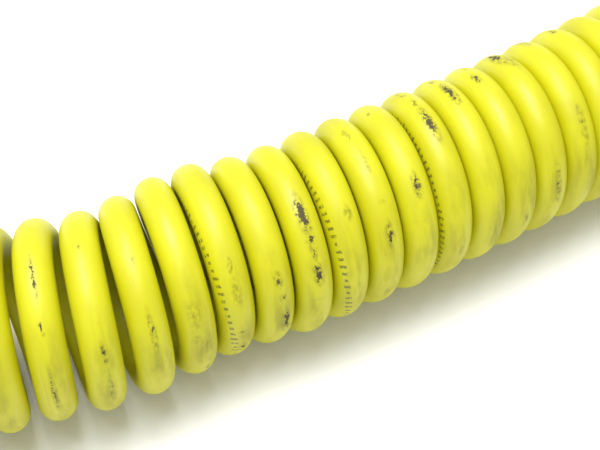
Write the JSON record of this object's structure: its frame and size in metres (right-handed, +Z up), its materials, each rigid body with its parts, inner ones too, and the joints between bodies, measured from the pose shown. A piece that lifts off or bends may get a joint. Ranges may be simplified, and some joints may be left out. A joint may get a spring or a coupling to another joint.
{
  "type": "coiled cable assembly",
  "caption": "Coiled yellow power cable with straight tails, a round threaded plug at one end and a round socket with a coupling nut at the other.",
  "frame": {"origin": "middle of the footprint, on the surface the assembly lies on; the middle of the coil is 8 mm towards +X and 9.5 mm towards -Y of it", "axes": "+Z up; +X along the coil, from the plug end to the socket end; the camera side is -Y"},
  "size_m": [0.794, 0.181, 0.0532],
  "materials": {
    "yellow_sheath": "semi-matt polyurethane, bright yellow",
    "sleeve_rubber": "matt black rubber",
    "seal_rubber": "matt red-brown silicone",
    "black_polyamide": "fine-grained glass-filled polyamide",
    "natural_nylon": "natural nylon",
    "grey_insert": "smooth thermoset moulding",
    "spring_steel": "bright spring steel",
    "nickel_nut": "nickel-plated brass",
    "contact_brass": "thinly silvered brass",
    "bare_copper": "bare copper strands",
    "core_brown": "brown core insulation",
    "core_blue": "blue core insulation",
    "core_green_yellow": "green and yellow striped core insulation",
    "core_white": "white core insulation"
  },
  "bodies": {
    "plug_side": {"cable_coil": "yellow_sheath", "plug_bend_sleeve": "sleeve_rubber", "plug_clamp_ring": "natural_nylon", "plug_conductor_ends": "bare_copper", "plug_core_earth": "core_green_yellow", "plug_core_line": "core_brown", "plug_core_neutral": "core_blue", "plug_core_pilot": "core_white", "plug_gland_nut": "black_polyamide", "plug_gland_seal": "seal_rubber", "plug_housing": "black_polyamide", "plug_insert": "grey_insert", "plug_insert_ring": "spring_steel", "plug_pin_earth": "contact_brass", "plug_pin_line": "contact_brass", "plug_pin_neutral": "contact_brass", "plug_pin_pilot": "contact_brass", "plug_sheath_end": "yellow_sheath", "plug_tail": "yellow_sheath", "plug_terminal_screws": "spring_steel"},
    "socket_side": {"socket_bend_sleeve": "sleeve_rubber", "socket_clamp_ring": "natural_nylon", "socket_conductor_ends": "bare_copper", "socket_contact_earth": "contact_brass", "socket_contact_line": "contact_brass", "socket_contact_neutral": "contact_brass", "socket_contact_pilot": "contact_brass", "socket_core_earth": "core_green_yellow", "socket_core_line": "core_brown", "socket_core_neutral": "core_blue", "socket_core_pilot": "core_white", "socket_face_seal": "seal_rubber", "socket_gland_nut": "black_polyamide", "socket_gland_seal": "seal_rubber", "socket_housing": "black_polyamide", "socket_insert": "grey_insert", "socket_insert_ring": "spring_steel", "socket_nut_ring": "spring_steel", "socket_sheath_end": "yellow_sheath", "socket_tail": "yellow_sheath", "socket_terminal_screws": "spring_steel"},
    "coupling_nut": {"socket_coupling_nut": "nickel_nut"}
  },
  "joints": [
    {"name": "coil_stretch", "type": "slide", "parent": "plug_side", "child": "socket_side", "axis": [1, 0, 0], "range_m": [0, 0.5], "stiffness_N_per_m": 80, "deforming": ["cable_coil"]},
    {"name": "coupling_nut_spin", "type": "hinge", "parent": "socket_side", "child": "coupling_nut", "pos_m": [0.382, -0.0695, 0.021], "axis": [1, 0, 0], "continuous": true}
  ]
}
